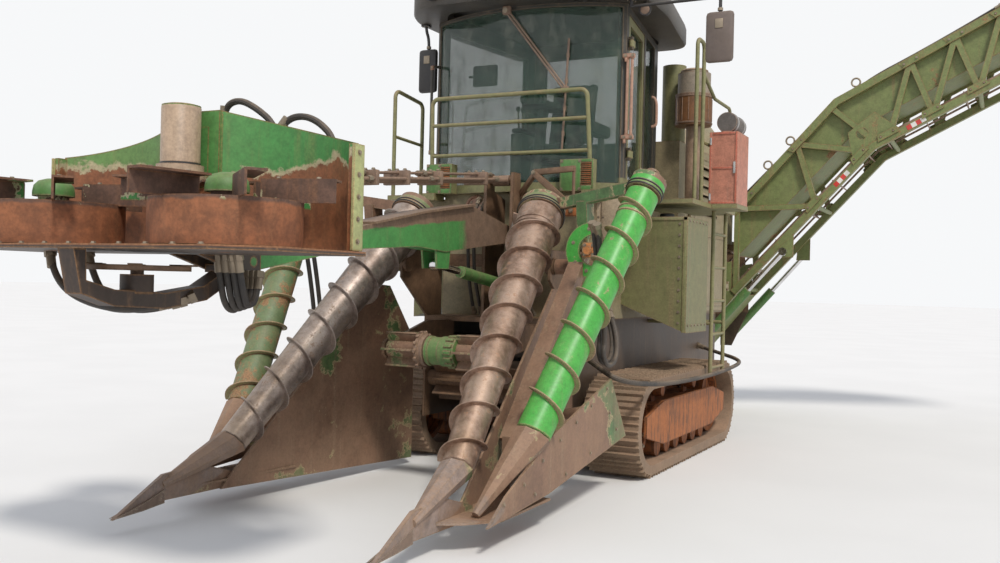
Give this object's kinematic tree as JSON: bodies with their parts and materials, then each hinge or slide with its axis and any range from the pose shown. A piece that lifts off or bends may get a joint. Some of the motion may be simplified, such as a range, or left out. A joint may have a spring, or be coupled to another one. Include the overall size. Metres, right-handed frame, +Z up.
{
  "type": "sugarcane harvester",
  "caption": "Tracked sugarcane harvester with topper, twin crop dividers, cab, extractor and a loading elevator swung out to one side.",
  "frame": {"origin": "centre of the bounding box on the ground, under the tracks", "axes": "+Y towards the rear of the machine, +X towards its left side, where the elevator is swung out, +Z up"},
  "size_m": [6.8004, 9.8351, 5.5771],
  "materials": {
    "track_steel": "dusty, worn",
    "frame_paint": "rusty brown, worn",
    "olive_paint": "dusty, faded",
    "green_paint": "worn to bare steel at edges",
    "worn_steel": "brown patina",
    "drum_rust": "rust orange",
    "roof_black": "matte, dusty",
    "tinted_glass": "green tint",
    "seat_cover": "dark",
    "red_paint": "faded red",
    "engine_block": "oily",
    "rod_chrome": "polished"
  },
  "bodies": {
    "machine": {"main_frame": "frame_paint", "track_left": "track_steel", "track_right": "track_steel", "track_frames": "frame_paint", "cab_base": "olive_paint", "cab_shell": "olive_paint", "cab_glass": "tinted_glass", "cab_roof": "roof_black", "mirrors": "roof_black", "wiper": "worn_steel", "operator_seat": "seat_cover", "steering": "roof_black", "front_rail": "olive_paint", "platforms": "olive_paint", "side_tanks": "olive_paint", "air_cleaner": "olive_paint", "muffler": "worn_steel", "red_locker": "red_paint", "engine": "engine_block", "engine_housing": "olive_paint", "extractor_duct": "olive_paint"},
    "cab_door": {"cab_door": "olive_paint", "door_glass": "tinted_glass"},
    "engine_door_left": {"engine_door_left": "olive_paint"},
    "engine_door_right": {"engine_door_right": "olive_paint"},
    "extractor_hood": {"extractor_hood": "olive_paint"},
    "extractor_fan": {"extractor_fan": "worn_steel"},
    "topper_arm": {"topper_arm": "frame_paint"},
    "topper_link": {"topper_link": "worn_steel"},
    "topper_head": {"topper_head": "green_paint"},
    "gathering_drum_left": {"gathering_drum_left": "drum_rust"},
    "gathering_drum_right": {"gathering_drum_right": "drum_rust"},
    "topper_knife": {"topper_knife": "frame_paint"},
    "topper_lift_barrel": {"topper_lift_barrel": "green_paint"},
    "topper_lift_rod": {"topper_lift_rod": "rod_chrome"},
    "divider_left": {"divider_left": "green_paint"},
    "divider_right": {"divider_right": "green_paint"},
    "inner_screw_left": {"inner_screw_left": "worn_steel"},
    "inner_screw_right": {"inner_screw_right": "worn_steel"},
    "outer_screw_left": {"outer_screw_left": "green_paint"},
    "outer_screw_right": {"outer_screw_right": "worn_steel"},
    "base_cutter_left": {"base_cutter_left": "frame_paint"},
    "base_cutter_right": {"base_cutter_right": "frame_paint"},
    "knockdown_roller": {"knockdown_roller": "frame_paint"},
    "fin_roller": {"fin_roller": "frame_paint"},
    "butt_roller": {"butt_roller": "frame_paint"},
    "slew_table": {"slew_table": "frame_paint"},
    "elevator": {"elevator_bowl": "olive_paint", "elevator_truss": "olive_paint", "slat_chain": "worn_steel", "second_duct": "olive_paint"},
    "elevator_ram_barrels": {"elevator_ram_barrels": "green_paint"},
    "elevator_ram_rods": {"elevator_ram_rods": "rod_chrome"},
    "second_hood": {"second_hood": "olive_paint"},
    "second_fan": {"second_fan": "worn_steel"},
    "bin_flap": {"bin_flap": "olive_paint"}
  },
  "joints": [
    {"name": "topper_arm_lift", "type": "hinge", "parent": "machine", "child": "topper_arm", "pos_m": [-1.8604, -0.72437, 1.85], "axis": [-1, 0, 0], "range_deg": [-8, 38]},
    {"name": "topper_link_swing", "type": "hinge", "parent": "machine", "child": "topper_link", "pos_m": [-1.8604, -0.72437, 2.28], "axis": [-1, 0, 0], "range_deg": [-8, 38]},
    {"name": "topper_head_level", "type": "hinge", "parent": "topper_arm", "child": "topper_head", "pos_m": [-1.8604, -3.72437, 1.55], "axis": [-1, 0, 0], "range_deg": [-38, 8]},
    {"name": "gathering_drum_left_spin", "type": "hinge", "parent": "topper_head", "child": "gathering_drum_left", "pos_m": [-1.3104, -4.42437, 1.6], "axis": [0, 0, 1], "continuous": true},
    {"name": "gathering_drum_right_spin", "type": "hinge", "parent": "topper_head", "child": "gathering_drum_right", "pos_m": [-2.4104, -4.42437, 1.6], "axis": [0, 0, 1], "continuous": true},
    {"name": "topper_knife_spin", "type": "hinge", "parent": "topper_head", "child": "topper_knife", "pos_m": [-1.8604, -4.40437, 1.5], "axis": [0, 0, 1], "continuous": true},
    {"name": "topper_ram_swing", "type": "hinge", "parent": "machine", "child": "topper_lift_barrel", "pos_m": [-1.8604, -0.59437, 1.45], "axis": [-1, 0, 0], "range_deg": [-8, 32]},
    {"name": "topper_ram_stroke", "type": "slide", "parent": "topper_lift_barrel", "child": "topper_lift_rod", "axis": [0, -0.9924, 0.123], "range_m": [-0.0487, 0.224]},
    {"name": "divider_left_lift", "type": "hinge", "parent": "machine", "child": "divider_left", "pos_m": [-1.0604, -1.12437, 1.6], "axis": [-1, 0, 0], "range_deg": [0, 10]},
    {"name": "inner_screw_left_spin", "type": "hinge", "parent": "divider_left", "child": "inner_screw_left", "pos_m": [-1.0344, -2.81637, 0.419], "axis": [-0.1223, 0.7215, 0.6816], "continuous": true},
    {"name": "outer_screw_left_spin", "type": "hinge", "parent": "divider_left", "child": "outer_screw_left", "pos_m": [-0.7554, -2.40937, 0.587], "axis": [0.1622, 0.5508, 0.8187], "continuous": true},
    {"name": "divider_right_lift", "type": "hinge", "parent": "machine", "child": "divider_right", "pos_m": [-2.6604, -1.12437, 1.6], "axis": [-1, 0, 0], "range_deg": [0, 10]},
    {"name": "inner_screw_right_spin", "type": "hinge", "parent": "divider_right", "child": "inner_screw_right", "pos_m": [-2.6864, -2.81637, 0.419], "axis": [0.1223, 0.7215, 0.6816], "continuous": true},
    {"name": "outer_screw_right_spin", "type": "hinge", "parent": "divider_right", "child": "outer_screw_right", "pos_m": [-2.9654, -2.40937, 0.587], "axis": [-0.1622, 0.5508, 0.8187], "continuous": true},
    {"name": "base_cutter_left_spin", "type": "hinge", "parent": "machine", "child": "base_cutter_left", "pos_m": [-1.5554, -0.40437, 0.13], "axis": [0, 0, 1], "continuous": true},
    {"name": "base_cutter_right_spin", "type": "hinge", "parent": "machine", "child": "base_cutter_right", "pos_m": [-2.1654, -0.40437, 0.13], "axis": [0, 0, 1], "continuous": true},
    {"name": "knockdown_roller_spin", "type": "hinge", "parent": "machine", "child": "knockdown_roller", "pos_m": [-1.8604, -1.65437, 0.98], "axis": [1, 0, 0], "continuous": true},
    {"name": "fin_roller_spin", "type": "hinge", "parent": "machine", "child": "fin_roller", "pos_m": [-1.8604, -0.70437, 0.69], "axis": [1, 0, 0], "continuous": true},
    {"name": "butt_roller_spin", "type": "hinge", "parent": "machine", "child": "butt_roller", "pos_m": [-1.8604, 0.05563, 0.47], "axis": [1, 0, 0], "continuous": true},
    {"name": "cab_door_swing", "type": "hinge", "parent": "machine", "child": "cab_door", "pos_m": [-0.9884, -0.23637, 2.52], "axis": [0, 0, -1], "range_deg": [0, 80]},
    {"name": "engine_door_left_swing", "type": "hinge", "parent": "machine", "child": "engine_door_left", "pos_m": [-0.9984, 2.99363, 1.5], "axis": [0, 0, 1], "range_deg": [0, 95]},
    {"name": "engine_door_right_swing", "type": "hinge", "parent": "machine", "child": "engine_door_right", "pos_m": [-2.7224, 2.99363, 1.5], "axis": [0, 0, -1], "range_deg": [0, 95]},
    {"name": "extractor_hood_turn", "type": "hinge", "parent": "machine", "child": "extractor_hood", "pos_m": [-1.8604, 3.97563, 2.6], "axis": [0, 0, 1], "range_deg": [-60, 60]},
    {"name": "extractor_fan_spin", "type": "hinge", "parent": "machine", "child": "extractor_fan", "pos_m": [-1.8604, 3.97563, 2.45], "axis": [0, 0, 1], "continuous": true},
    {"name": "elevator_slew", "type": "hinge", "parent": "machine", "child": "slew_table", "pos_m": [-1.8604, 4.22563, 1.935], "axis": [0, 0, 1], "range_deg": [0, 170]},
    {"name": "elevator_lift", "type": "hinge", "parent": "slew_table", "child": "elevator", "pos_m": [-1.3104, 4.22563, 1.24], "axis": [0, -1, 0], "range_deg": [-12, 2]},
    {"name": "elevator_ram_swing", "type": "hinge", "parent": "slew_table", "child": "elevator_ram_barrels", "pos_m": [-1.4604, 4.22563, 0.83], "axis": [0, -1, 0], "range_deg": [-10, 3]},
    {"name": "elevator_ram_stroke", "type": "slide", "parent": "elevator_ram_barrels", "child": "elevator_ram_rods", "axis": [0.656, 0, 0.7548], "range_m": [-0.0394, 0.0082]},
    {"name": "second_hood_turn", "type": "hinge", "parent": "elevator", "child": "second_hood", "pos_m": [2.19631, 4.22563, 5.05613], "axis": [0, 0, 1], "range_deg": [-90, 90]},
    {"name": "second_fan_spin", "type": "hinge", "parent": "elevator", "child": "second_fan", "pos_m": [2.19631, 4.22563, 4.95613], "axis": [0, 0, 1], "continuous": true},
    {"name": "bin_flap_swing", "type": "hinge", "parent": "elevator", "child": "bin_flap", "pos_m": [2.74525, 4.22563, 5.01157], "axis": [0, -1, 0], "range_deg": [-10, 60]}
  ],
  "couplings": [
    {"joint": "topper_link_swing", "follows": "topper_arm_lift", "ratio": 1},
    {"joint": "topper_head_level", "follows": "topper_arm_lift", "ratio": -1},
    {"joint": "topper_ram_swing", "follows": "topper_arm_lift", "ratio": 0.7983},
    {"joint": "topper_ram_stroke", "follows": "topper_arm_lift", "m_per_rad": 0.33471},
    {"joint": "base_cutter_right_spin", "follows": "base_cutter_left_spin", "ratio": -1},
    {"joint": "elevator_ram_swing", "follows": "elevator_lift", "ratio": 0.71648},
    {"joint": "elevator_ram_stroke", "follows": "elevator_lift", "m_per_rad": 0.17845}
  ]
}
